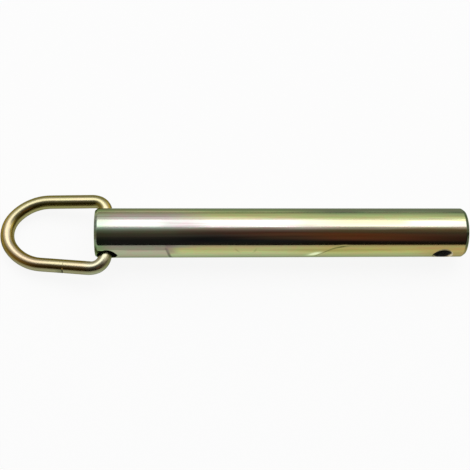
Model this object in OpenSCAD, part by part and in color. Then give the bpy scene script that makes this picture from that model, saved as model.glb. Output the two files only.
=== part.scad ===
// Hitch pin with a pull ring: a straight bar that drops through a drawbar and its clevis.
// One cross-hole at the free end takes a linch pin. A larger one at the other end carries
// a D-shaped ring of bent wire, which swings in it and pulls the pin out.
// The origin is on the pin's axis at half its length. +X points to the free end, and the
// pin lies on its side on a level surface, with both cross-holes along Y.

/* [Pin] */
// Diameter of the pin
pin_d = 25; // [18:0.5:40]
// Length of the pin from end to end
pin_l = 188; // [120:1:300]
// Length of the bevel round each end, along the pin
end_bevel_l = 1.5; // [0.5:0.1:3]
// Depth of that bevel, towards the pin's axis
end_bevel_depth = 1; // [0.3:0.1:2]

/* [Linch-pin hole] */
// Diameter of the hole for the linch pin
linch_hole_d = 9; // [5:0.5:12]
// Metal left between the linch-pin hole and the free end
linch_hole_wall = 7.5; // [4:0.5:30]
// Width of the bevel that takes the burr off the hole's mouths
linch_mouth_bevel = 0.9; // [0.2:0.1:1.5]

/* [Ring hole] */
// How much wider than the wire the hole is
ring_hole_play = 3; // [1:0.25:5]
// Metal left between the hole and the ring end of the pin
ring_hole_wall = 1; // [0.8:0.1:20]
// Width of the bevel that takes the burr off the hole's mouths
ring_mouth_bevel = 0.5; // [0.2:0.1:0.7]

/* [Pull ring] */
// Diameter of the wire that the ring is bent from
wire_d = 7; // [4:0.25:9]
// Inside radius of the two bends beside the pin
bend_inner_r = 3; // [2:0.25:8]
// How far inside the mouths of its hole the ring's straight leg ends
leg_inset = 0.85; // [0:0.05:1]
// Angle by which the leg is out of square with the ring's middle line
leg_slant = 5.75; // [0:0.25:8]
// Mean length of the two straight limbs, from the bend to the shoulder
limb_l = 24.5; // [10:0.5:80]
// Angle by which each limb leans towards the middle
limb_lean = 2.3; // [0:0.1:5]
// Centreline radius of the shoulders, where the limbs start to close in
shoulder_r = 22.75; // [12:0.25:30]
// Angle through which each shoulder turns
shoulder_turn = 50; // [30:1:60]
// Distance from the bend to the joint where the two ends of the wire meet
butt_at = 13.5; // [3:0.5:70]
// Width of the groove left all round that joint
butt_groove_w = 0.5; // [0.2:0.1:1]
// Depth of that groove
butt_groove_depth = 0.35; // [0.1:0.05:0.8]

/* [Rest position] */
// Gap between the ring's leg and the wall of its hole, where the leg bears on it
leg_seat_gap = 0.3; // [0.1:0.05:0.45]
// How far round from the bottom of its hole, towards the pin's end, the leg bears
leg_bearing = 48.5; // [0:0.5:80]

/* [Hidden] */
$fn = 48;

// length by which a cutter passes the surface that it cuts
cut_over = 1;

pin_r = pin_d / 2;
wire_r = wire_d / 2;

// the two cross-holes, each measured in from its own end of the pin
linch_hole_x = pin_l / 2 - linch_hole_wall - linch_hole_d / 2;
ring_hole_d = wire_d + ring_hole_play;
ring_hole_x = -pin_l / 2 + ring_hole_wall + ring_hole_d / 2;

// the leg, limbs and bow are a hair thinner than the bends and shoulders and lap into them,
// so that no two surfaces of the wire meet at a tangent
lap = 0.25;
lapped_d = wire_d - 0.02;

// the ring's centreline: leg, bend, limb and shoulder, then one arc round the bow
leg_half = pin_r - leg_inset;
bend_r = bend_inner_r + wire_r;
bow_heading = limb_lean + shoulder_turn;
bow_half_w = leg_half * cos(leg_slant) + bend_r * cos(limb_lean) - limb_l * sin(limb_lean)
    - shoulder_r * (cos(limb_lean) - cos(bow_heading));
bow_r = bow_half_w / cos(bow_heading);

// how far the ring reaches from the axis of its leg
leg_off_middle = (bend_r - leg_half * tan(limb_lean)) * sin(leg_slant);
bow_centre = bend_r * (cos(leg_slant) + sin(limb_lean)) + limb_l * cos(limb_lean)
    + shoulder_r * (sin(bow_heading) - sin(limb_lean)) - bow_r * sin(bow_heading);
ring_reach = leg_off_middle * sin(leg_slant) + bow_centre * cos(leg_slant) + bow_r;

// at rest the leg lies low in its hole, and the bow lies on the surface below
leg_shift = ring_hole_play / 2 - leg_seat_gap;
leg_x = ring_hole_x - leg_shift * sin(leg_bearing);
leg_z = -leg_shift * cos(leg_bearing);
ring_drop = asin((pin_r + leg_z - wire_r) / ring_reach);

// The turned bar, along X, with a bevel round each end
module bar() {
    half_l = pin_l / 2;
    profile = [
        [0, -half_l],
        [pin_r - end_bevel_depth, -half_l],
        [pin_r, -half_l + end_bevel_l],
        [pin_r, half_l - end_bevel_l],
        [pin_r - end_bevel_depth, half_l],
        [0, half_l]
    ];
    rotate([0, 90, 0])
        rotate_extrude()
            polygon(profile);
}

// A drill of diameter d that passes right across the pin at x, along Y
module cross_drill(x, d) {
    translate([x, 0, 0])
        rotate([90, 0, 0])
            cylinder(h = pin_d + 2 * cut_over, d = d, center = true);
}

// Cones that bevel both mouths of a cross-hole of diameter d at x
module mouth_bevels(x, d, bevel) {
    for (side = [-1, 1])
        translate([x, side * (pin_r + cut_over), 0])
            rotate([side * 90, 0, 0])
                cylinder(
                    h = bevel + cut_over,
                    r1 = d / 2 + bevel + cut_over,
                    r2 = d / 2
                );
}

module pin() {
    color([0.66, 0.65, 0.52])
        difference() {
            bar();
            cross_drill(linch_hole_x, linch_hole_d);
            mouth_bevels(linch_hole_x, linch_hole_d, linch_mouth_bevel);
            cross_drill(ring_hole_x, ring_hole_d);
            mouth_bevels(ring_hole_x, ring_hole_d, ring_mouth_bevel);
        }
}

// A straight run of wire along +X, lapped into the bends at both its ends.
// What follows starts at its far end.
module run(length) {
    translate([-lap, 0, 0])
        rotate([0, 90, 0])
            cylinder(h = length + 2 * lap, d = lapped_d);
    translate([length, 0, 0])
        children();
}

// A bend of wire of diameter d to the right, from +X towards -Y, that runs on by
// the given length at both its ends. What follows starts at its far end.
module turn(radius, angle, d = wire_d, run_on = 0) {
    more = run_on / radius * 180 / PI;
    translate([0, -radius, 0]) {
        rotate([0, 0, 90 - angle - more])
            rotate_extrude(angle = angle + 2 * more)
                translate([radius, 0])
                    circle(d = d);
        rotate([0, 0, -angle])
            translate([0, radius, 0])
                children();
    }
}

// One side of the ring, lying flat: from the end of the leg round to the bow. The leg's
// slant opens the bend on one side and lengthens the limb there, and does the reverse on
// the other, so that the two shoulders stay level with each other.
module ring_side(slant) {
    translate([0, -leg_half, 0])
        rotate([0, 0, -90])
            turn(bend_r, 90 + limb_lean + slant)
                run(limb_l + leg_half * sin(slant) / cos(limb_lean))
                    turn(shoulder_r, shoulder_turn)
                        children();
}

// The whole ring, lying flat, with its leg along Y and its bow towards -X
module flat_ring() {
    translate([0, -leg_half, 0])
        rotate([0, 0, 90])
            run(2 * leg_half);
    ring_side(leg_slant)
        turn(bow_r, 180 - 2 * bow_heading, lapped_d, lap);
    mirror([0, 1, 0])
        ring_side(-leg_slant);
}

// The groove round the joint in the limb on the -Y side
module butt_groove() {
    notch = [
        [wire_r - butt_groove_depth, 0],
        [wire_r + butt_groove_depth, -butt_groove_w],
        [wire_r + butt_groove_depth, butt_groove_w]
    ];
    translate([-bend_r, -leg_half, 0])
        rotate([0, 0, -limb_lean - leg_slant])
            translate([-butt_at, -bend_r, 0])
                rotate([0, 90, 0])
                    rotate_extrude()
                        polygon(notch);
}

// The ring, swung down about its leg to where it comes to rest
module ring() {
    color([0.78, 0.66, 0.40])
        translate([leg_x, 0, leg_z])
            rotate([0, -ring_drop, 0])
                difference() {
                    flat_ring();
                    butt_groove();
                }
}

pin();
ring();
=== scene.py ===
"""Looks of a hitch pin with a pull ring: yellow-passivated zinc on a turned bar and a bent wire.

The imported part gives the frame. Both of its nodes are stood for by finer surfaces worked out
here on grids of points, in millimetres, in the same frame: the origin is on the pin's axis at
half its length, +X points to the free end and +Z is up.
"""

from math import asin, cos, pi, radians, sin, sqrt, tan

import bpy
import bmesh
import numpy as np
from mathutils import Matrix, Vector


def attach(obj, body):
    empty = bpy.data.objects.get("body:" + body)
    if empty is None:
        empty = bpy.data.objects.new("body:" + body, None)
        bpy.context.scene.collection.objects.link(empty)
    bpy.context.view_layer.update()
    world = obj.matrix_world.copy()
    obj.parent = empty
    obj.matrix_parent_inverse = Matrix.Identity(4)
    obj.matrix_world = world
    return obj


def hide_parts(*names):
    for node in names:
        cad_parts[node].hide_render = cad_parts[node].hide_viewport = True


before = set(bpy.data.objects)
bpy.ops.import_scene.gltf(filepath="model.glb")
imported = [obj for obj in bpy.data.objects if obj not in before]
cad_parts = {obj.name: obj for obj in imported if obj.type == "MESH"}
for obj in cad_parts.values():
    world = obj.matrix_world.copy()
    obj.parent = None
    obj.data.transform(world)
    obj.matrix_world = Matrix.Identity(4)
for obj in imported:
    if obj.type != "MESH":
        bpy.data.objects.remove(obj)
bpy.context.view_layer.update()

MM = 0.001

# The pin, in millimetres, as in the part's source
PIN_R = 12.5
PIN_HALF = 94.0
END_BEVEL_L = 1.5
END_BEVEL_DEPTH = 1.0
LINCH_HOLE = {"x": 82.0, "r": 4.5, "bevel": 0.9}
RING_HOLE = {"x": -88.0, "r": 5.0, "bevel": 0.5}

# The ring, in millimetres and degrees, as in the part's source
WIRE_R = 3.5
LEG_HALF = 11.65
LEG_SLANT = 5.75
BEND_R = 6.5
LIMB_L = 24.5
LIMB_LEAN = 2.3
SHOULDER_R = 22.75
SHOULDER_TURN = 50.0
BUTT_AT = 13.5
BUTT_GROOVE_W = 0.5
BUTT_GROOVE_DEPTH = 0.35
LEG_SEAT_GAP = 0.3
LEG_BEARING = 48.5

# The runs of the ring's wire that its leg and its two tight bends are, counted from 0
FAR_BEND, LEG, NEAR_BEND = 5, 6, 7

# How many rows of points the sheets have
FAN_ROWS = 15
BEVEL_ROWS = 7
BORE_ROWS = 31
ROLL_ROWS = 6
FACE_ROWS = 19
JOINT_ROWS = 19
WIRE_ROWS = 560
WIRE_POINTS = 81


# ---------------------------------------------------------------- points and meshes

def between(a, b, share):
    """The values that lie the given share of the way from a to b."""
    return a + (b - a) * share


def hump(distance, width):
    """A bell curve of height 1 at distance 0: e to the minus of distance over width, squared."""
    return np.exp(-(distance / width) ** 2)


def step(value, low, high):
    """A smooth step from 0 at low to 1 at high: 3t squared less 2t cubed."""
    t = np.clip((value - low) / (high - low), 0, 1)
    return t * t * (3 - 2 * t)


def hills(u, v, seed):
    """A smooth random height of about 1 over u and v: the sum of many sine waves that run in
    random directions with random phases."""
    count = 24
    draw = np.random.default_rng(seed)
    ways = draw.normal(0, 1, (count, 2))
    phases = draw.uniform(0, 2 * pi, count)
    waves = np.sin(np.multiply.outer(u, ways[:, 0]) + np.multiply.outer(v, ways[:, 1]) + phases)
    return waves.sum(-1) * sqrt(2 / count)


def quads(rows, cols):
    """The corner numbers of every quad of a grid of points, counted row by row."""
    number = np.arange(rows * cols).reshape(rows, cols)
    corners = [number[:-1, :-1], number[:-1, 1:], number[1:, 1:], number[1:, :-1]]
    return np.stack(corners, -1).reshape(-1, 4)


def weld(sheets):
    """Joins sheets of points into one skin. Each sheet is its points and the quads kept of
    it. Points at the same place become one, and quads become triangles, less those with no
    area. Returns the points, the triangles, and which of the sheets' points were kept."""
    points = np.concatenate([p.reshape(-1, 3) for p, _ in sheets])
    starts = np.cumsum([0] + [p.size // 3 for p, _ in sheets[:-1]])
    faces = np.concatenate([q + start for (_, q), start in zip(sheets, starts)])
    _, first, place = np.unique(np.round(points, 4), axis=0, return_index=True, return_inverse=True)
    faces = place.reshape(-1)[faces]
    corners = np.concatenate([faces[:, [0, 1, 2]], faces[:, [0, 2, 3]]])
    a, b, c = corners.T
    return points[first], corners[(a != b) & (b != c) & (c != a)], first


def skin(name, sheets, vectors):
    """A mesh object from welded sheets in millimetres, smooth and facing outwards, with the
    named vectors as attributes of its points."""
    points, corners, first = weld(sheets)
    mesh = bpy.data.meshes.new(name)
    mesh.from_pydata((points * MM).tolist(), [], corners.tolist())
    for key, values in vectors.items():
        layer = mesh.attributes.new(key, "FLOAT_VECTOR", "POINT")
        layer.data.foreach_set("vector", values.reshape(-1, 3)[first].ravel())
    work = bmesh.new()
    work.from_mesh(mesh)
    bmesh.ops.recalc_face_normals(work, faces=work.faces)
    work.to_mesh(mesh)
    work.free()
    mesh.shade_smooth()
    made = bpy.data.objects.new(name, mesh)
    bpy.context.scene.collection.objects.link(made)
    return made


# ---------------------------------------------------------------- the pin

# How softly the bar and its bevels blend, and how deep the scuff's groove and scoop are, all in
# millimetres
BLEND = 0.1
GROOVE_DEPTH = 0.09
SCOOP_DEPTH = 0.14

# One degree round the bar, in millimetres
DEGREE = PIN_R * pi / 180

# The bar's grid of points: its turns from the front, where it ends along the bar, and the
# rectangle left out round each mouth, as its two ends and half its width in degrees
BAR_TURNS = np.linspace(-90, 270, 241)
GRID_END = 93.88
RING_PATCH = (-93.85, -81.55, 33.0)
LINCH_PATCH = (75.55, 88.45, 28.5)


def bar_radius(x):
    """Radius of the turned bar at x: the full radius, or the straight bevel's where that is
    less. Where the two meet they blend, as half of a + b - sqrt((a - b) squared + k squared)."""
    bevel = PIN_R - END_BEVEL_DEPTH * (1 - (PIN_HALF - np.abs(x)) / END_BEVEL_L)
    return 0.5 * (PIN_R + bevel - np.sqrt((PIN_R - bevel) ** 2 + BLEND ** 2))


def scuff(x, turn):
    """Depths of the curved scuff low on the front of the bar: a narrow groove that starts
    level and dives, its turn falling as a power of the way along it, and beside its lower end
    a shallow slanting scoop."""
    start, length, high, low = 33.0, 16.5, 35.0, -2.0
    dive = between(high, low, np.clip((start - x) / length, 0, 1) ** 2.2)
    along = step(x, 15.5, 17.5) * (1 - step(x, 28.0, 34.0))
    groove = along * hump((turn - dive) * DEGREE, 0.40)
    scoop_x, scoop_turn = 15.8, 8.5
    slant = turn - scoop_turn - 1.5 * (x - scoop_x)
    scoop = hump(x - scoop_x, 2.7) * hump(slant * DEGREE, 1.1)
    return GROOVE_DEPTH * groove, SCOOP_DEPTH * scoop


def bar_dents(x, turn):
    """How far the bar's surface lies below its true radius: broad waves from the drawing die,
    and the scuff. turn is the angle round the bar from its front, in degrees."""
    mean = 0.006
    a = np.radians(turn)
    waves = mean * (1 + hills(x / 30, 2.2 * np.cos(a) + 5 * np.sin(a), 3) * 0.5)
    return np.clip(waves, 0, 2 * mean) + sum(scuff(x, turn))


def bar_points(x, turn):
    """Points of the bar's outer surface at x and at turn degrees round from the front: on a
    circle of the bar's radius, less its dents."""
    radius = bar_radius(x) - bar_dents(x, turn)
    a = np.radians(turn)
    return np.stack([x + 0 * a, -radius * np.cos(a), radius * np.sin(a)], -1)


def bar_stations():
    """Places along the bar at which its grid has a ring of points: closer at the ends, in the
    patches round the holes, and at the scuff."""
    stops = [-GRID_END, *RING_PATCH[:2], 10.0, 35.0, *LINCH_PATCH[:2], 92.0, GRID_END]
    counts = [1, 32, 74, 92, 34, 34, 5, 14]
    spaced = [np.linspace(a, b, n + 1)[:-1] for a, b, n in zip(stops, stops[1:], counts)]
    return np.concatenate(spaced + [stops[-1:]])


def rim(hole, way):
    """Distance from the hole's axis to the outer edge of its bevelled mouth, in each direction
    way round it. The bevel is a cone of 45 degrees that cuts the bar, so the distance is found
    by repeating r + bevel + height - bar radius, and it is never less than a hair's bevel."""
    least = 0.14
    out = hole["r"] + hole["bevel"] + 0 * way
    for _ in range(40):
        radius = bar_radius(hole["x"] + out * np.cos(way))
        height = np.sqrt(radius ** 2 - (out * np.sin(way)) ** 2)
        out = np.maximum(hole["r"] + least, hole["r"] + hole["bevel"] + height - PIN_R)
    return out


def edge_walk(stations, turns):
    """The points of a rectangle's edge in order, once round, from the lines that cross it."""
    x = np.concatenate([stations[:-1], 0 * turns[:-1] + stations[-1],
                        stations[:0:-1], 0 * turns[:0:-1] + stations[0]])
    t = np.concatenate([0 * stations[:-1] + turns[0], turns[:-1],
                        0 * stations[:0:-1] + turns[-1], turns[:0:-1]])
    return np.append(x, x[0]), np.append(t, t[0])


def mouth_sheets(hole, patch, stations):
    """One hole's two mouths and its bore. Round each mouth, a sheet fans out over the bar from
    the hole's rim to a rectangle of the bar's own grid. A second sheet rolls over the bevel,
    and one tube joins the two."""
    low, high, wide = patch
    hair = 1e-6
    xs = stations[(stations > low - hair) & (stations < high + hair)]
    edge_x, edge_t = edge_walk(xs, BAR_TURNS[np.abs(BAR_TURNS) < wide + hair])
    way = np.arctan2(PIN_R * np.sin(np.radians(edge_t)), edge_x - hole["x"])
    out = rim(hole, way)
    rim_x = hole["x"] + out * np.cos(way)
    rim_z = out * np.sin(way)
    rim_t = np.degrees(np.arcsin(rim_z / bar_radius(rim_x)))
    share = np.linspace(0, 1, FAN_ROWS)[:, None] ** 1.4
    fan_x = between(rim_x, edge_x, share)
    fan_t = between(rim_t, edge_t, share)
    front = bar_points(fan_x, fan_t)
    back = bar_points(fan_x, 180 - fan_t)
    sheets = [(front, quads(*fan_x.shape)), (back, quads(*fan_x.shape))]

    # the bevel, slightly rounded: a curve from the rim to the bore, drawn towards its corner
    bore = np.stack([hole["x"] + hole["r"] * np.cos(way), 0 * way, hole["r"] * np.sin(way)], -1)
    s = np.linspace(0, 1, BEVEL_ROWS)[:, None, None]
    inner = {}
    for side, mouth in ((-1, front[0]), (1, back[0])):
        deep = np.abs(mouth[:, 1]) - (out - hole["r"])
        end = bore + np.stack([0 * way, side * deep, 0 * way], -1)
        corner = between(between(mouth, end, 0.5), bore + mouth * [0, 1, 0], 0.3)
        curve = mouth * (1 - s) ** 2 + corner * 2 * s * (1 - s) + end * s ** 2
        sheets.append((curve, quads(*curve.shape[:2])))
        inner[side] = end
    tube = between(inner[-1], inner[1], np.linspace(0, 1, BORE_ROWS)[:, None, None])
    sheets.append((tube, quads(*tube.shape[:2])))
    return sheets


def end_sheet(side):
    """One end of the bar: from its last ring of points the surface rolls over a rounded edge
    on to a flat turned face, and the face's rings close on its middle."""
    a = np.radians(BAR_TURNS)
    spoke = np.stack([0 * a, -np.cos(a), np.sin(a)], -1)
    middle = [side * PIN_HALF, 0, 0]
    edge_r = PIN_R - END_BEVEL_DEPTH - 0.02
    face_r = edge_r - 0.2
    start = bar_points(0 * BAR_TURNS + side * GRID_END, BAR_TURNS)
    corner = spoke * edge_r + middle
    face = spoke * face_r + middle
    s = np.linspace(0, 1, ROLL_ROWS)[:, None, None]
    roll = start * (1 - s) ** 2 + corner * 2 * s * (1 - s) + face * s ** 2
    disc = np.linspace(face_r, 0, FACE_ROWS)[1:, None, None] * spoke + middle
    points = np.concatenate([roll, disc])
    return points, quads(*points.shape[:2])


def bar_sheets():
    """The whole pin: the bar's grid less a rectangle round each mouth, the mouths with their
    bores, and the two ends. With them come the depths in metres of the scuff's groove and
    scoop at each point."""
    stations = bar_stations()
    x, turn = np.meshgrid(stations, BAR_TURNS, indexing="ij")
    body = bar_points(x, turn)
    mid_x = 0.25 * (x[:-1, :-1] + x[1:, :-1] + x[:-1, 1:] + x[1:, 1:]).ravel()
    mid_t = 0.5 * (turn[:-1, :-1] + turn[:-1, 1:]).ravel()
    off_front = np.minimum(np.abs(mid_t), np.abs(mid_t - 180))
    kept = np.ones(mid_x.size, bool)
    for low, high, wide in (RING_PATCH, LINCH_PATCH):
        kept &= ~((mid_x > low) & (mid_x < high) & (off_front < wide))
    sheets = [(body, quads(*x.shape)[kept])]
    sheets += mouth_sheets(RING_HOLE, RING_PATCH, stations)
    sheets += mouth_sheets(LINCH_HOLE, LINCH_PATCH, stations)
    sheets += [end_sheet(-1), end_sheet(1)]
    points = np.concatenate([p.reshape(-1, 3) for p, _ in sheets])
    groove, scoop = scuff(points[:, 0], np.degrees(np.arctan2(points[:, 2], -points[:, 1])))
    return sheets, {"scuffed": np.stack([groove, scoop, 0 * groove], -1) * MM}


# ---------------------------------------------------------------- the ring

def ring_runs():
    """The wire's runs and arcs in turn, once round from its butt joint, each as its length and
    how far it turns. The leg is out of square, so the wire turns further in the near bend
    than in the far one, and the near limb is the longer. The bow closes the ring."""
    lean, shoulder, slant = radians(LIMB_LEAN), radians(SHOULDER_TURN), radians(LEG_SLANT)
    more = LEG_HALF * sin(slant) / cos(lean)
    bow = pi - 2 * (lean + shoulder)
    round_bow = bow_radius() * bow
    near, far = pi / 2 + lean + slant, pi / 2 + lean - slant
    return [
        (LIMB_L + more - BUTT_AT, 0), (SHOULDER_R * shoulder, shoulder), (round_bow, bow),
        (SHOULDER_R * shoulder, shoulder), (LIMB_L - more, 0), (BEND_R * far, far),
        (2 * LEG_HALF, 0), (BEND_R * near, near), (BUTT_AT, 0),
    ]


def run_ends():
    """Where each run of the wire begins along it, and where the last one ends."""
    return np.concatenate([[0], np.cumsum([length for length, _ in ring_runs()])])


def bow_radius():
    """Radius of the bow: half the width left between the shoulders, over the cosine of the
    heading at which the bow starts."""
    lean, slant = radians(LIMB_LEAN), radians(LEG_SLANT)
    bow = lean + radians(SHOULDER_TURN)
    wide = LEG_HALF * cos(slant) + BEND_R * cos(lean) - LIMB_L * sin(lean)
    return (wide - SHOULDER_R * (cos(lean) - cos(bow))) / cos(bow)


def ring_reach():
    """How far the ring reaches from the axis of its leg: to the bow's centre, which the slant
    turns about the leg, and by the bow's radius from there."""
    lean, slant = radians(LIMB_LEAN), radians(LEG_SLANT)
    bow = lean + radians(SHOULDER_TURN)
    off = (BEND_R - LEG_HALF * tan(lean)) * sin(slant)
    out = BEND_R * (cos(slant) + sin(lean)) + LIMB_L * cos(lean)
    out += SHOULDER_R * (sin(bow) - sin(lean)) - bow_radius() * sin(bow)
    return off * sin(slant) + out * cos(slant) + bow_radius()


def ring_lie():
    """How the ring lies at rest: its leg bears low on the wall of its hole, towards the pin's
    end, and the ring is dropped about its leg till the bow touches the surface below."""
    shift = RING_HOLE["r"] - WIRE_R - LEG_SEAT_GAP
    bearing = radians(LEG_BEARING)
    place = np.array([RING_HOLE["x"] - shift * sin(bearing), 0, -shift * cos(bearing)])
    drop = asin((PIN_R + place[2] - WIRE_R) / ring_reach())
    return np.array(Matrix.Rotation(-drop, 3, "Y")), place


def wire_path(rows):
    """The wire's centreline, once round from its butt joint, as places and unit directions.
    The heading is the sum of the turns of its runs, softened over a millimetre or two as a
    bent wire's is, and the path is the sum of its steps. What little the ends then miss each
    other by is shared out along it. The leg's middle is put at the origin, and the path is
    drawn in a hair towards it, since the softened bends would reach past the solid's."""
    softness, drawn_in, fine = 1.1, 0.9982, 24000
    ends = run_ends()
    turned = np.concatenate([[0], np.cumsum([angle for _, angle in ring_runs()])])
    total = ends[-1]
    s = (np.arange(fine) + 0.5) * total / fine
    extra = np.interp(s, ends, turned) - 2 * pi * s / total
    wave = np.fft.fftfreq(fine, total / fine)
    soft = np.fft.ifft(np.fft.fft(extra) * np.exp(-2 * (pi * wave * softness) ** 2)).real
    leans = radians(LIMB_LEAN + LEG_SLANT)
    heading = pi - leans - (soft + 2 * pi * s / total)
    steps = np.stack([np.cos(heading), np.sin(heading)], -1) * total / fine
    path = np.concatenate([[[0, 0]], np.cumsum(steps, 0)])
    path -= np.outer(np.linspace(0, 1, fine + 1), path[-1])
    along = np.linspace(0, total, fine + 1)
    leg_middle = np.searchsorted(along, 0.5 * (ends[LEG] + ends[LEG + 1]))
    path = drawn_in * (path - path[leg_middle])
    at = np.interp(rows, along, path[:, 0]), np.interp(rows, along, path[:, 1])
    toward = np.interp(rows, s, np.cos(heading)), np.interp(rows, s, np.sin(heading))
    size = np.hypot(*toward)
    return np.stack(at, -1), np.stack([toward[0] / size, toward[1] / size], -1)


def pressed_bends(row):
    """1 in the two tight bends beside the leg and 0 along the rest of the wire."""
    ends = run_ends()
    bends = [(ends[run], ends[run + 1]) for run in (FAR_BEND, NEAR_BEND)]
    return sum(step(row, a - 1, a + 2) * (1 - step(row, b - 2, b + 1)) for a, b in bends)


def ring_sheets():
    """The ring: a circle carried along the wire's path. Its radius dips into a V at the butt
    joint, which stands open on the outside, and wavers a few hundredths along the wire. In the
    two tight bends the wire is pressed a little flat, thinner across the bend and thicker
    through it. With the points come their place on the wire in metres, as along it, across
    it and up from it, and which way they face."""
    lie, place = ring_lie()
    total, beside = run_ends()[-1], 0.9
    near = beside * np.linspace(0, 1, JOINT_ROWS) ** 1.3
    far = np.linspace(beside, total - beside, WIRE_ROWS)[1:-1]
    rows = np.concatenate([near, far, total - near[::-1]])
    middle, toward = wire_path(rows)
    outward = np.stack([-toward[:, 1], toward[:, 0]], -1)
    row, angle = np.meshgrid(rows, np.linspace(0, 2 * pi, WIRE_POINTS), indexing="ij")
    to_joint = np.minimum(row, total - row)
    open_side = between(0.12, 1.0, step(np.cos(angle), 0.5, 0.9))
    groove = BUTT_GROOVE_DEPTH * open_side * np.clip(1 - to_joint / (BUTT_GROOVE_W * 0.75), 0, 1)
    waver = np.minimum(0.02 * hills(row / 9, 1.5 * np.cos(angle), 11) - 0.04, 0)
    radius = WIRE_R - groove + waver
    pressed = pressed_bends(row)
    across = radius * np.cos(angle) * (1 - 0.05 * pressed)
    up = radius * np.sin(angle) * (1 + 0.012 * pressed)
    centre = np.append(middle, 0 * middle[:, :1], 1)[:, None]
    side = np.append(outward, 0 * outward[:, :1], 1)[:, None]
    points = (centre + side * across[..., None] + up[..., None] * [0, 0, 1]) @ lie.T + place
    facing = (side * np.cos(angle)[..., None] + np.sin(angle)[..., None] * [0, 0, 1]) @ lie.T
    wire = np.stack([row, WIRE_R * np.cos(angle), WIRE_R * np.sin(angle)], -1) * MM
    points, wire, facing = [np.concatenate([grid, grid[:1]]) for grid in (points, wire, facing)]
    return [(points, quads(*points.shape[:2]))], {"wire": wire, "facing": facing}


# ---------------------------------------------------------------- shader arithmetic

class Graph:
    """The node tree of one material, or of the world."""

    def __init__(self, tree):
        self.tree = tree
        tree.nodes.clear()

    def node(self, kind, settings=None, inputs=None, output=0):
        """Adds a node with its settings first, then values or links for its sockets."""
        made = self.tree.nodes.new("ShaderNode" + kind)
        for name, value in (settings or {}).items():
            if name == "stops":
                self.set_stops(made.color_ramp, value)
            else:
                setattr(made, name, value)
        for name, value in (inputs or {}).items():
            if isinstance(value, Signal):
                self.tree.links.new(value.socket, made.inputs[name])
            else:
                made.inputs[name].default_value = value
        return Signal(self, made.outputs[output]) if len(made.outputs) else made

    @staticmethod
    def set_stops(ramp, stops):
        """Gives a colour ramp its stops, each a place and a colour or a grey."""
        while len(ramp.elements) < len(stops):
            ramp.elements.new(0.5)
        for element, (place, colour) in zip(ramp.elements, stops):
            element.position = place
            grey = isinstance(colour, (int, float))
            element.color = (colour,) * 3 + (1,) if grey else tuple(colour) + (1,)

    def math(self, operation, *values):
        """One Math node."""
        return self.node("Math", {"operation": operation}, dict(enumerate(values)))

    def mix(self, a, b, share, how="MIX"):
        """One Mix node on two colours."""
        settings = {"data_type": "RGBA", "blend_type": how}
        a = a if isinstance(a, Signal) else tuple(a) + (1,)
        b = b if isinstance(b, Signal) else tuple(b) + (1,)
        return self.node("Mix", settings, {0: share, 6: a, 7: b}, 2)

    def noise(self, at, scale, detail=2.0, roughness=0.5, distortion=0.0):
        """One Noise Texture's grey, spread out to fill 0 to 1."""
        inputs = {"Vector": at, "Scale": scale, "Detail": detail,
                  "Roughness": roughness, "Distortion": distortion}
        return ((self.node("TexNoise", {}, inputs) - 0.5) * 1.7 + 0.5).held()

    def stretch(self, at, scale):
        """A vector with each of its parts scaled."""
        return self.node("VectorMath", {"operation": "MULTIPLY"}, {0: at, 1: scale})

    def ramp(self, value, stops):
        """One Color Ramp node."""
        return self.node("ValToRGB", {"stops": stops}, {"Fac": value})

    def attribute(self, name):
        """A vector attribute of the mesh."""
        return self.node("Attribute", {"attribute_name": name}, {}, 1)

    def rise(self, value, low, high):
        """A smooth step of a value from 0 at low up to 1 at high."""
        inputs = {"Value": value, "From Min": low, "From Max": high}
        return self.node("MapRange", {"interpolation_type": "SMOOTHSTEP"}, inputs)

    def fall(self, value, low, high):
        """A smooth step of a value from 1 at low down to 0 at high."""
        return 1.0 - self.rise(value, low, high)

    def hill(self, value, low, top_low, top_high, high):
        """1 where a value is between top_low and top_high, falling smoothly to 0 at low and
        at high."""
        return self.rise(value, low, top_low) * self.fall(value, top_high, high)

    def line(self, value, middle, width):
        """1 where a value is at the middle, falling smoothly to 0 at a width from it."""
        return self.fall(self.math("ABSOLUTE", value - middle), width * 0.3, width)


class Signal:
    """A socket that takes part in Python arithmetic. Each operation adds a Math node."""

    def __init__(self, graph, socket):
        self.graph = graph
        self.socket = socket

    def __add__(self, other):
        return self.graph.math("ADD", self, other)

    def __sub__(self, other):
        return self.graph.math("SUBTRACT", self, other)

    def __rsub__(self, other):
        return self.graph.math("SUBTRACT", other, self)

    def __mul__(self, other):
        return self.graph.math("MULTIPLY", self, other)

    def __truediv__(self, other):
        return self.graph.math("DIVIDE", self, other)

    def __pow__(self, other):
        return self.graph.math("POWER", self, other)

    def held(self):
        """The value kept within 0 and 1."""
        return self.graph.node("Clamp", {}, {"Value": self})

    __radd__ = __add__
    __rmul__ = __mul__


def parts(graph, vector):
    """The three parts of a vector."""
    node = graph.node("SeparateXYZ", {}, {0: vector}).socket.node
    return [Signal(graph, output) for output in node.outputs]


def in_mm(graph, vector):
    """The three parts, in millimetres, of a vector in metres."""
    return parts(graph, graph.stretch(vector, (1 / MM, 1 / MM, 1 / MM)))


def paint(name):
    """A new material, and its graph with nothing in it yet."""
    material = bpy.data.materials.new(name)
    material.use_nodes = True
    return material, Graph(material.node_tree)


def plate(g, tint, rough, height, strength, distance, edge):
    """Ends a graph in a bare metal of the given colour and roughness, with bumps of the given
    height, and with edge as what its reflections are tinted by at a grazing angle."""
    bumps = {"Strength": strength, "Distance": distance, "Height": height}
    shader = g.node("BsdfPrincipled", {}, {
        "Base Color": tint, "Metallic": 1.0, "Roughness": rough,
        "Normal": g.node("Bump", {}, bumps), "Specular Tint": edge + (1,),
    })
    g.node("OutputMaterial", {}, {"Surface": shader})


# ---------------------------------------------------------------- finishes

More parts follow.
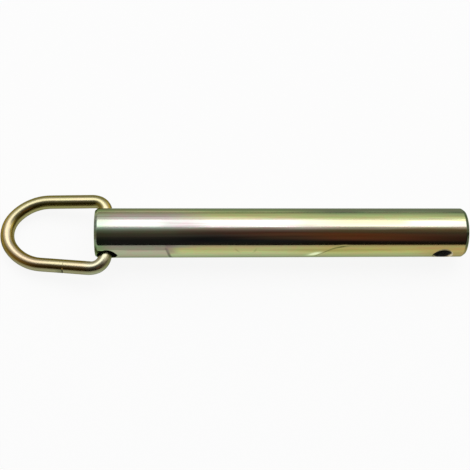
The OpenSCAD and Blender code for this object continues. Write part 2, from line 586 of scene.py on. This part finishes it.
# Zinc under a yellow passivate. Its colours change round the bar, and each ramp paints them
# as they are seen from in front and above, so they stand in part for light: painted highlight
# edges round the crown, and painted shade, the dark reflection, along the top at the back.
# Each ramp runs over the top, from this many degrees below the front to as many above the
# back, and returns underneath.
FILM_START = 28.0
BY_RING = [
    (0.00, (0.38, 0.40, 0.30)), (0.17, (0.41, 0.42, 0.30)), (0.27, (0.40, 0.39, 0.28)),
    (0.295, (0.26, 0.25, 0.18)), (0.335, (0.26, 0.25, 0.19)), (0.36, (0.37, 0.36, 0.29)),
    (0.42, (0.50, 0.51, 0.46)), (0.49, (0.60, 0.55, 0.38)), (0.53, (0.52, 0.47, 0.28)),
    (0.575, (0.48, 0.56, 0.43)), (0.60, (0.62, 0.70, 0.65)), (0.625, (0.45, 0.47, 0.45)),
    (0.695, (0.42, 0.41, 0.40)), (0.72, (0.57, 0.55, 0.52)), (0.75, (0.56, 0.53, 0.49)),
    (0.77, (0.50, 0.45, 0.39)), (0.81, (0.50, 0.46, 0.30)), (0.86, (0.27, 0.28, 0.16)),
    (1.00, (0.15, 0.17, 0.09)),
]
MIDDLE = [
    (0.00, (0.40, 0.46, 0.30)), (0.17, (0.44, 0.50, 0.30)), (0.26, (0.48, 0.51, 0.22)),
    (0.31, (0.42, 0.40, 0.17)), (0.36, (0.41, 0.36, 0.19)), (0.39, (0.52, 0.46, 0.30)),
    (0.42, (0.46, 0.51, 0.50)), (0.45, (0.25, 0.31, 0.33)), (0.48, (0.26, 0.27, 0.27)),
    (0.50, (0.42, 0.36, 0.30)), (0.52, (0.36, 0.23, 0.16)), (0.56, (0.52, 0.36, 0.27)),
    (0.575, (0.51, 0.40, 0.31)), (0.588, (0.75, 0.67, 0.63)), (0.605, (0.66, 0.61, 0.61)),
    (0.64, (0.47, 0.46, 0.46)), (0.68, (0.45, 0.44, 0.40)), (0.70, (0.42, 0.40, 0.32)),
    (0.715, (0.66, 0.63, 0.44)), (0.735, (0.67, 0.67, 0.38)), (0.75, (0.62, 0.64, 0.30)),
    (0.81, (0.50, 0.55, 0.23)), (0.86, (0.23, 0.27, 0.14)), (1.00, (0.13, 0.17, 0.10)),
]
FREE_END = [
    (0.00, (0.38, 0.42, 0.24)), (0.17, (0.42, 0.46, 0.24)), (0.26, (0.47, 0.47, 0.16)),
    (0.30, (0.43, 0.38, 0.12)), (0.36, (0.40, 0.33, 0.14)), (0.39, (0.36, 0.24, 0.08)),
    (0.42, (0.48, 0.34, 0.28)), (0.48, (0.46, 0.32, 0.21)), (0.56, (0.48, 0.33, 0.14)),
    (0.575, (0.44, 0.33, 0.15)), (0.588, (0.69, 0.61, 0.43)), (0.605, (0.61, 0.57, 0.46)),
    (0.64, (0.41, 0.39, 0.29)), (0.68, (0.40, 0.39, 0.26)), (0.70, (0.35, 0.35, 0.21)),
    (0.715, (0.57, 0.59, 0.33)), (0.735, (0.55, 0.59, 0.27)), (0.75, (0.50, 0.55, 0.24)),
    (0.81, (0.38, 0.48, 0.23)), (0.86, (0.17, 0.19, 0.13)), (1.00, (0.15, 0.15, 0.11)),
]


# Where a wrapping ended on the bar, low on its front, while the film dried
WRAP_EDGE = -57.0


def film_on_bar(g, x, turn, wander, clouds, low, edge):
    """The film's colour: grey by the ring, green in the middle and golden towards the free
    end, where a painted highlight pales it along the crown. On the crown by the wrapping's
    edge it is darkened, painted to dim the highlight there, and low on the front it changes
    only at that edge."""
    place = g.math("PINGPONG", turn + wander + FILM_START, 180.0) / 180
    drift = x + (clouds - 0.5) * 30.0
    to_middle = g.rise(drift, -66.0, -36.0) * (1.0 - low) + edge * low
    tint = g.mix(g.ramp(place, BY_RING), g.ramp(place, MIDDLE), to_middle)
    tint = g.mix(tint, g.ramp(place, FREE_END), g.rise(drift, -5.0, 35.0))
    tint = g.mix(tint, (0.43, 0.29, 0.11), low * g.rise(drift, 66.0, 84.0) * 0.6)
    # Painted highlight: the crown's colour is dimmed by the wrapping's edge and paled towards the
    # free end, only in the rows where the highlight falls
    crown = g.rise(place, 0.595, 0.615)
    dimmed_highlight = g.hill(drift, -70.0, -58.0, -50.0, -36.0) * g.fall(place, 0.705, 0.72)
    tint = g.mix(tint, (0.36, 0.33, 0.34), crown * dimmed_highlight * 0.85)
    pale = g.rise(x, 58.0, 68.0) * (1.0 - g.rise(x, 86.0, 93.0) * 0.4)
    return g.mix(tint, (0.45, 0.45, 0.43), crown * pale * g.fall(place, 0.675, 0.69))


def wrapping_marks(g, tint, x, turn, streaks, past, low, edge):
    """What the wrapping left: a dark line at its edge with a brown patch beside it, a fine
    line along its top, and two small nicks further on. past is how far past the edge."""
    mark = g.hill(past, -0.9, 0.1, 0.4, 1.4)
    tint = g.mix(tint, (0.08, 0.08, 0.07), mark * low * 0.75)
    beside = edge * g.fall(past, 0.5, 8.0) * g.hill(turn, 4.0, 22.0, 37.0, 42.0)
    tint = g.mix(tint, (0.25, 0.20, 0.18), beside * 0.75)
    top = g.line(turn + (streaks - 0.5) * 1.5, 24.0, 1.3) * (1.0 - edge)
    tint = g.mix(tint, (0.24, 0.16, 0.14), top * g.rise(x, -84.0, -76.0) * 0.55)
    nicks = g.line(x + turn * 0.19, -19.0, 0.7) + g.line(x - turn * 0.1, -16.5, 0.6)
    nicks = nicks * g.hill(turn, 13.0, 22.0, 23.0, 32.0)
    return g.mix(tint, (0.22, 0.21, 0.08), nicks * 0.4)


def end_tints(g, tint, x, turn, clouds, ring_rim):
    """The bar's two ends: the film turns green by the ring, both bevels have a dark rim of
    painted shade, deepest over the top at the free end, and each turned face has a cloudy film
    of its own."""
    tint = g.mix(tint, (0.82, 1.00, 0.80), g.fall(x, -91.0, -82.0) * 0.8, "MULTIPLY")
    greener = g.fall(x, -92.0, -86.0) * g.fall(turn, 36.0, 60.0)
    tint = g.mix(tint, (0.78, 1.00, 0.76), greener * 0.9, "MULTIPLY")
    # Painted shade: a dark rim on each bevel, deeper over the top at the free end
    free_rim = g.rise(x, 92.0, 92.5) * (g.rise(turn, 14.0, 36.0) * 0.63 + 0.3)
    tint = g.mix(tint, (0.06, 0.09, 0.05), free_rim + ring_rim * 0.36)
    face = g.mix((0.46, 0.45, 0.30), (0.40, 0.46, 0.24), clouds)
    return g.mix(tint, face, g.rise(g.math("ABSOLUTE", x), 93.7, 93.9))


def hole_bands(g, x, y, z, hole):
    """Two values that are 1 in the bore of a cross-hole and on the bevel round its mouths, and
    0 elsewhere."""
    out = g.math("SQRT", (x - hole["x"]) ** 2.0 + z ** 2.0)
    past_bore = g.rise(out, hole["r"] + 0.05, hole["r"] + 0.25)
    bore = g.fall(g.math("ABSOLUTE", y), 11.2, 11.8) * (1.0 - past_bore)
    rim_r = hole["r"] + hole["bevel"]
    return bore, past_bore * g.fall(out, rim_r - 0.2, rim_r)


def plated_pin():
    """The pin's plating: a mirror-like film on bright zinc, with clouds along the bar and fine
    draw lines. The linch-pin hole's bore is dull and darkened with painted shade, the bevel of
    its mouths is painted dark by the ring's side and pale by the free end's side, as painted
    shade and light, and the scuff has gone through to pale metal, with painted shade along its
    groove and a painted highlight on its scoop."""
    material, g = paint("yellow passivate on bar")
    at = g.node("TexCoord", {}, {}, 3)
    x, y, z = in_mm(g, at)
    turn = g.math("ARCTAN2", z, y * -1.0) * (180 / pi)
    clouds = g.noise(g.stretch(at, (18, 70, 70)), 1.0, 3.0, 0.55, 0.3)
    draw_lines = g.noise(g.stretch(at, (14, 1100, 1100)), 1.0, 2.0, 0.5)
    streaks = g.noise(g.stretch(at, (8, 420, 420)), 1.0, 3.0, 0.6)
    mottle = g.noise(g.stretch(at, (230, 520, 520)), 1.0, 3.0, 0.6, 0.4)
    wander = (clouds - 0.5) * 6.0 + (draw_lines - 0.5) * 4.0 + (streaks - 0.5) * 5.0

    low = g.hill(turn, -40.0, -30.0, 28.0, 34.0)
    past = x + turn * 0.06 + (streaks - 0.5) * 0.8 - WRAP_EDGE
    edge = g.rise(past, -0.6, 0.6)
    tint = film_on_bar(g, x, turn, wander, clouds, low, edge)
    tint = wrapping_marks(g, tint, x, turn, streaks, past, low, edge)
    ring_rim = g.fall(x, -92.9, -92.4)
    tint = end_tints(g, tint, x, turn, clouds, ring_rim)

    bore, bevel = hole_bands(g, x, y, z, LINCH_HOLE)
    # Painted shade: the bore is darkened
    tint = g.mix(tint, (0.18, 0.19, 0.20), bore * 0.9)
    tint = g.mix(tint, (0.62, 0.58, 0.55), g.rise(streaks, 0.4, 0.9) * 0.75, "MULTIPLY")
    speck = g.mix((1.07, 0.97, 0.98), (0.97, 1.06, 0.98), g.rise(mottle, 0.2, 0.8))
    tint = g.mix(tint, speck, 1.0, "MULTIPLY")
    # Painted shade and light on the mouth's bevel: dark on the side by the ring, pale on the side
    # by the free end
    past_middle = g.rise(x, LINCH_HOLE["x"] + 3.4, LINCH_HOLE["x"] + 4.4)
    tint = g.mix(tint, g.mix((0.22, 0.19, 0.12), (0.66, 0.58, 0.42), past_middle), bevel * 0.9)
    groove, scoop, _ = in_mm(g, g.attribute("scuffed"))
    # Painted shade along the scuff's groove; the scoop's bare metal is made brighter still as a
    # painted highlight
    tint = g.mix(tint, (0.20, 0.20, 0.06), (groove * 14.0).held())
    tint = g.mix(tint, (0.90, 1.00, 0.62), (scoop * 11.0).held() * 0.95)

    rough = 0.105 + (draw_lines - 0.5) * 0.05 + (clouds - 0.5) * 0.03
    rough = rough + bevel * 0.3 + ring_rim * 0.22 + bore * 0.45
    plate(g, tint, rough, draw_lines, 0.12, 0.00003, (0.50, 0.55, 0.45))
    return material


# The film on the wire, by how far it faces up as the ring lies: pale on top as a painted
# highlight, golden beside that, then a dark band of painted shade, and brown on the sides and
# below
WIRE_FILM = [
    (0.00, (0.31, 0.28, 0.16)), (0.60, (0.31, 0.28, 0.14)), (0.71, (0.27, 0.24, 0.10)),
    (0.78, (0.17, 0.13, 0.04)), (0.84, (0.32, 0.23, 0.05)), (0.90, (0.56, 0.39, 0.06)),
    (0.93, (0.51, 0.40, 0.14)), (0.96, (0.49, 0.41, 0.25)), (1.00, (0.49, 0.42, 0.30)),
]


def film_on_wire(g, at, across, facing, clouds, draw_lines):
    """The film's colour: painted shade on the back and on the bow's outer side, greyish low on
    the near limb with a warm dark band of painted shade above that, painted shade inside the
    bow beside its highlight, and cloudy all round."""
    x, y, _ = in_mm(g, at)
    to_side, to_back, to_top = facing
    place = 0.5 + to_top * 0.5 + (draw_lines - 0.5) * 0.004
    tint = g.ramp(place.held(), WIRE_FILM)
    # Painted shade: darker on the back of the wire, more so on the far limb
    from_back = g.rise(to_back + g.rise(y, 0.0, 10.0) * 0.12, 0.2, 0.7)
    tint = g.mix(tint, (0.18, 0.155, 0.05), from_back * 0.75)
    # Painted shade along the bow's outer side
    tint = g.mix(tint, (0.11, 0.10, 0.03), g.fall(to_side, -0.92, -0.72) * 0.85)
    near_side = g.fall(y, -12.0, -4.0)
    tint = g.mix(tint, (0.35, 0.38, 0.27), near_side * g.fall(to_back, -0.9, -0.5) * 0.5)
    # Painted shade: the near limb's dark band made warm
    warm = near_side * g.hill(place, 0.80, 0.86, 0.955, 0.98) * g.fall(to_back, -0.3, 0.0)
    tint = g.mix(tint, (1.05, 0.80, 0.62), warm, "MULTIPLY")
    hue = g.mix((1.0, 0.90, 0.88), (0.90, 1.0, 0.80), g.rise(g.noise(at, 38.0, 2.0), 0.15, 0.75))
    tint = g.mix(tint, hue, 0.6 + clouds * 0.4, "MULTIPLY")
    # Painted shade inside the bow, darker and bluer beside its highlight
    inner = g.hill(across, -3.1, -2.6, -1.7, -0.9) * g.fall(x, -131.0, -122.0)
    inner = inner * g.hill(y, -6.5, -2.5, 4.0, 7.0)
    return g.mix(tint, (0.62, 0.66, 0.82), inner, "MULTIPLY")


def tints_by_hole(g, tint, at, facing):
    """The near bend, where it goes into the pin: silvery, and olive on the side by the pin."""
    x, y, _ = in_mm(g, at)
    to_side, _, to_top = facing
    near_bend = g.fall(y, -14.0, -8.0)
    by_hole = g.rise(x, -101.0, -95.0) * near_bend
    tint = g.mix(tint, (0.50, 0.49, 0.37), by_hole * g.rise(to_top, 0.45, 0.85) * 0.6)
    tint = g.mix(tint, (0.42, 0.45, 0.34), by_hole * g.fall(to_top, 0.1, 0.5) * 0.6)
    olive = g.rise(x, -94.5, -91.5) * near_bend * g.rise(to_side, 0.2, 0.9)
    return g.mix(tint, (0.17, 0.19, 0.08), olive * 0.65)


def plated_ring():
    """The ring's plating: a darker, browner film on rolled wire, softer in its shine. It is
    darker beside the joint, where that stands open, and dirt sits in it."""
    material, g = paint("yellow passivate on wire")
    at = g.node("TexCoord", {}, {}, 3)
    wire = g.attribute("wire")
    along, across, _ = in_mm(g, wire)
    facing = parts(g, g.attribute("facing"))
    clouds = g.noise(at, 55.0, 3.0, 0.55, 0.4)
    draw_lines = g.noise(g.stretch(wire, (25, 900, 900)), 1.0, 2.0, 0.5)
    tint = film_on_wire(g, at, across, facing, clouds, draw_lines)
    tint = tints_by_hole(g, tint, at, facing)
    # Darker beside the joint, on its open side
    darker_by_joint = g.fall(along, 1.0, 4.5) * g.rise(across, 2.2, 3.3)
    tint = g.mix(tint, (0.13, 0.15, 0.08), darker_by_joint * 0.6)
    in_joint = g.fall(along, 0.2, 0.6) * g.rise(across, 2.2, 3.2)
    tint = g.mix(tint, (0.05, 0.04, 0.03), in_joint * 0.9)
    rough = 0.23 + (clouds - 0.5) * 0.06 + (draw_lines - 0.5) * 0.02
    plate(g, tint, rough, draw_lines, 0.015, 0.00004, (0.45, 0.45, 0.38))
    return material


# ---------------------------------------------------------------- the studio

# The camera: millimetres from its aim, degrees round to the left, above the level and rolled
CAMERA_FAR = 482.18
CAMERA_YAW = 3.93
CAMERA_RISE = 67.38
CAMERA_ROLL = -0.09
CAMERA_LENS = 72.766


def stand_camera():
    """The camera looks down on the middle of the pin and its ring from in front, on a lens
    that sees 27.8 degrees."""
    yaw, rise, roll = radians(CAMERA_YAW), radians(CAMERA_RISE), radians(CAMERA_ROLL)
    level = Vector((1, 0, 0))
    into = Vector((0, cos(rise), -sin(rise)))
    up = Vector((0, sin(rise), cos(rise)))
    forward = cos(yaw) * into + sin(yaw) * level
    side = cos(yaw) * level - sin(yaw) * into
    right = cos(roll) * side + sin(roll) * up
    top = cos(roll) * up - sin(roll) * side
    aim = Vector((-23.73, 0, 0)) - 1.08 * up
    camera = bpy.data.objects.new("camera", bpy.data.cameras.new("camera"))
    camera.data.sensor_width = 36
    camera.data.lens = CAMERA_LENS
    camera.data.clip_start = 0.01
    turn = Matrix((right, top, -forward)).transposed()
    camera.matrix_world = Matrix.Translation((aim - CAMERA_FAR * forward) * MM) @ turn.to_4x4()
    bpy.context.scene.collection.objects.link(camera)
    bpy.context.scene.camera = camera


def stand_lamp(name, distance, slope, size, radiance):
    """A soft box that faces the pin from a distance in metres, slope degrees over the top from
    the front level. Its size in metres starts with its side along X."""
    data = bpy.data.lights.new(name, "AREA")
    data.shape = "RECTANGLE"
    data.size, data.size_y = size
    data.energy = radiance * pi * size[0] * size[1]
    lamp = bpy.data.objects.new(name, data)
    a = radians(slope)
    away = Vector((0, -cos(a), sin(a)))
    top = Vector((0, sin(a), cos(a)))
    lamp.location = away * distance
    lamp.rotation_mode = "QUATERNION"
    lamp.rotation_quaternion = Matrix((Vector((1, 0, 0)), top, away)).transposed().to_quaternion()
    bpy.context.scene.collection.objects.link(lamp)


# How bright the room is, by the angle over the top from the front level to the back level
ROOM = [
    (0.0, 0.75), (6.5, 0.75), (7.5, 0.022), (17.0, 0.020), (27.0, 0.015), (36.0, 0.017),
    (46.0, 0.027), (55.0, 0.060), (64.0, 0.070), (74.0, 0.125), (83.0, 0.22), (92.0, 0.55),
    (97.0, 0.90), (131.0, 1.25), (137.0, 1.00), (144.0, 0.98), (156.0, 0.74), (170.0, 0.50),
    (180.0, 0.36),
]


def light_room():
    """The room: dark in front above a pale band, brighter overhead, and pale behind, with
    greyer side walls. In the dark are a faint warm glow, a little to the right, and a pale
    wall further right."""
    world = bpy.data.worlds.new("studio")
    bpy.context.scene.world = world
    world.use_nodes = True
    g = Graph(world.node_tree)
    x, y, z = parts(g, g.node("TexCoord", {}, {}, 0))
    over = (g.math("ARCTAN2", z, y * -1.0) * (1 / pi)).held()
    grey = g.ramp(over, [(angle / 180, value) for angle, value in ROOM])
    to_side = g.rise(g.math("ABSOLUTE", x), 0.55, 0.92)
    walled = g.mix(grey, (0.25, 0.25, 0.25), to_side * 0.9)
    across = g.rise(x, 0.03, 0.14) * (1.0 - g.rise(x, 0.20, 0.31) * 0.85)
    glow = across * g.hill(over + x * 0.35, 0.205, 0.29, 0.40, 0.47)
    walled = g.mix(walled, (0.17, 0.08, 0.042), glow)
    aside = g.rise(x, 0.34, 0.48) * g.rise(over, 0.34, 0.46)
    walled = g.mix(walled, (0.95, 0.95, 0.95), aside * 0.8)
    colour = g.mix(walled, (0.75, 0.75, 0.75), g.math("LESS_THAN", z, 0.0))
    sky = g.node("Background", {}, {"Color": colour, "Strength": 1.0})
    g.node("OutputWorld", {}, {"Surface": sky})


def floor_paint():
    """Pale matt paper. What the camera and the metal see of it is lifted to white, and a share
    of its own light is left in so that it keeps the shadow."""
    material, g = paint("pale paper")
    matt = g.node("BsdfDiffuse", {}, {"Color": (0.90, 0.90, 0.90, 1)})
    white = g.node("Emission", {}, {"Color": (1, 1, 1, 1), "Strength": 1.0})
    rays = g.node("LightPath").socket.node.outputs
    seen = [Signal(g, rays["Is " + kind + " Ray"]) for kind in ("Camera", "Glossy", "Transmission")]
    share = (seen[0] + seen[1] + seen[2]).held() * 0.9
    paper = g.node("MixShader", {}, {0: share, 1: matt, 2: white})
    g.node("OutputMaterial", {}, {"Surface": paper})
    return material


def lay_floor():
    """The floor: one flat square under the pin."""
    half = 4.0
    corners = [(-half, -half), (half, -half), (half, half), (-half, half)]
    mesh = bpy.data.meshes.new("floor")
    mesh.from_pydata([(a, b, -PIN_R * MM) for a, b in corners], [], [(0, 1, 2, 3)])
    mesh.materials.append(floor_paint())
    floor = bpy.data.objects.new("floor", mesh)
    bpy.context.scene.collection.objects.link(floor)


# ---------------------------------------------------------------- putting it together

stand_camera()
bpy.context.scene.view_settings.view_transform = "Standard"
light_room()
stand_lamp("overhead soft box", distance=0.8, slope=113.2, size=(1.1, 0.515), radiance=1.5)
lay_floor()

bar, on_bar = bar_sheets()
pin_skin = skin("pin_skin", bar, on_bar)
pin_skin.data.materials.append(plated_pin())
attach(pin_skin, "pin")
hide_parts("pin")

wire, on_wire = ring_sheets()
ring_skin = skin("ring_skin", wire, on_wire)
ring_skin.data.materials.append(plated_ring())
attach(ring_skin, "ring")
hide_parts("ring")
